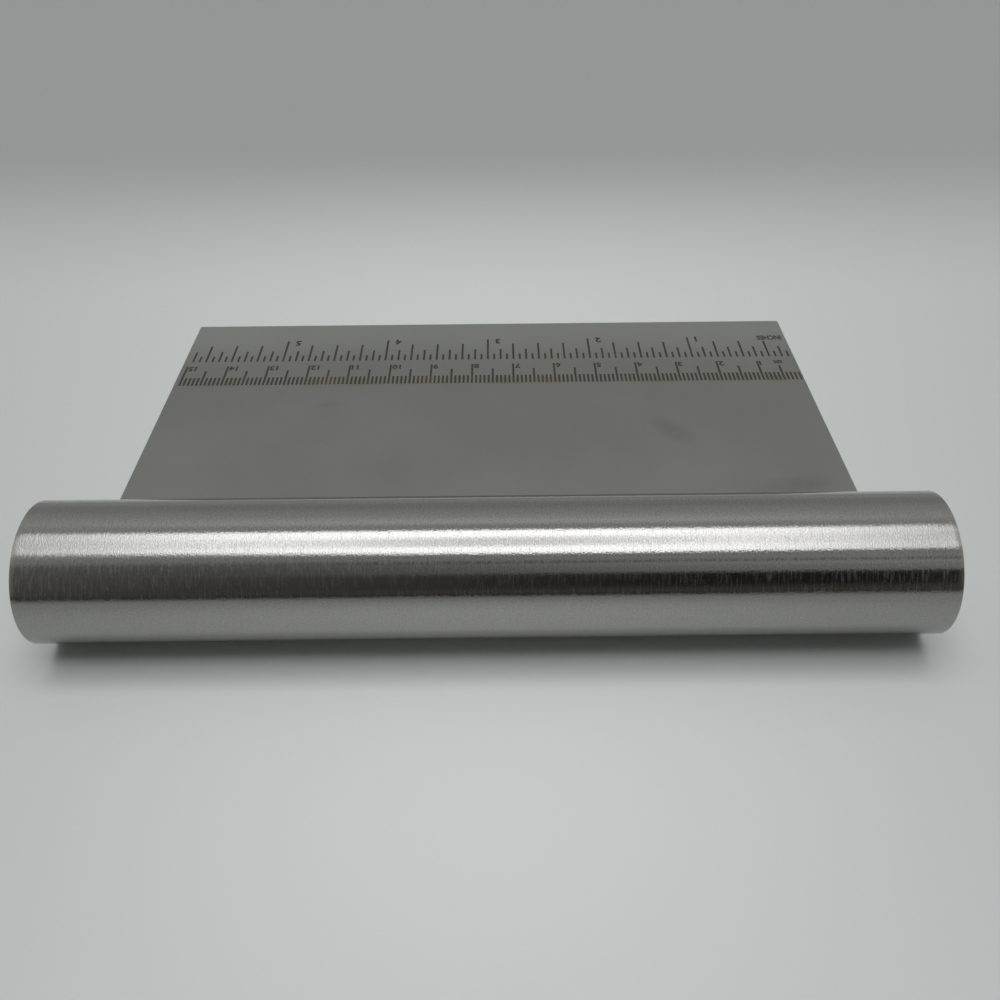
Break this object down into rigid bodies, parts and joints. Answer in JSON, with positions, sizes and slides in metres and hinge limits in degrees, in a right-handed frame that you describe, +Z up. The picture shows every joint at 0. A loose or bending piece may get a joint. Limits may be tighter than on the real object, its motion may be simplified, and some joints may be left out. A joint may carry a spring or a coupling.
{
  "type": "dough scraper",
  "caption": "Flat steel blade with a ground scraping edge and a round closed tube handle welded along its root, for cutting, portioning and scraping dough.",
  "frame": {"origin": "middle of the outline seen from above, on the surface that the scraper lies on", "axes": "+X along the handle, +Y from the handle to the scraping edge, +Z up, away from the surface that it lies on"},
  "size_m": [0.151, 0.115, 0.0253],
  "materials": {
    "satin_sheet": "satin stainless sheet",
    "brushed_tube": "stainless tube, brushed round its circumference",
    "pressed_cap": "pressed stainless cup, satin",
    "weld_metal": "rippled weld bead, slightly heat-tinted"
  },
  "bodies": {
    "root": {"blade": "satin_sheet", "handle_tube": "brushed_tube", "end_cap_right": "pressed_cap", "end_cap_left": "pressed_cap", "rear_weld_seam": "weld_metal", "front_weld_seam": "weld_metal"}
  },
  "joints": []
}
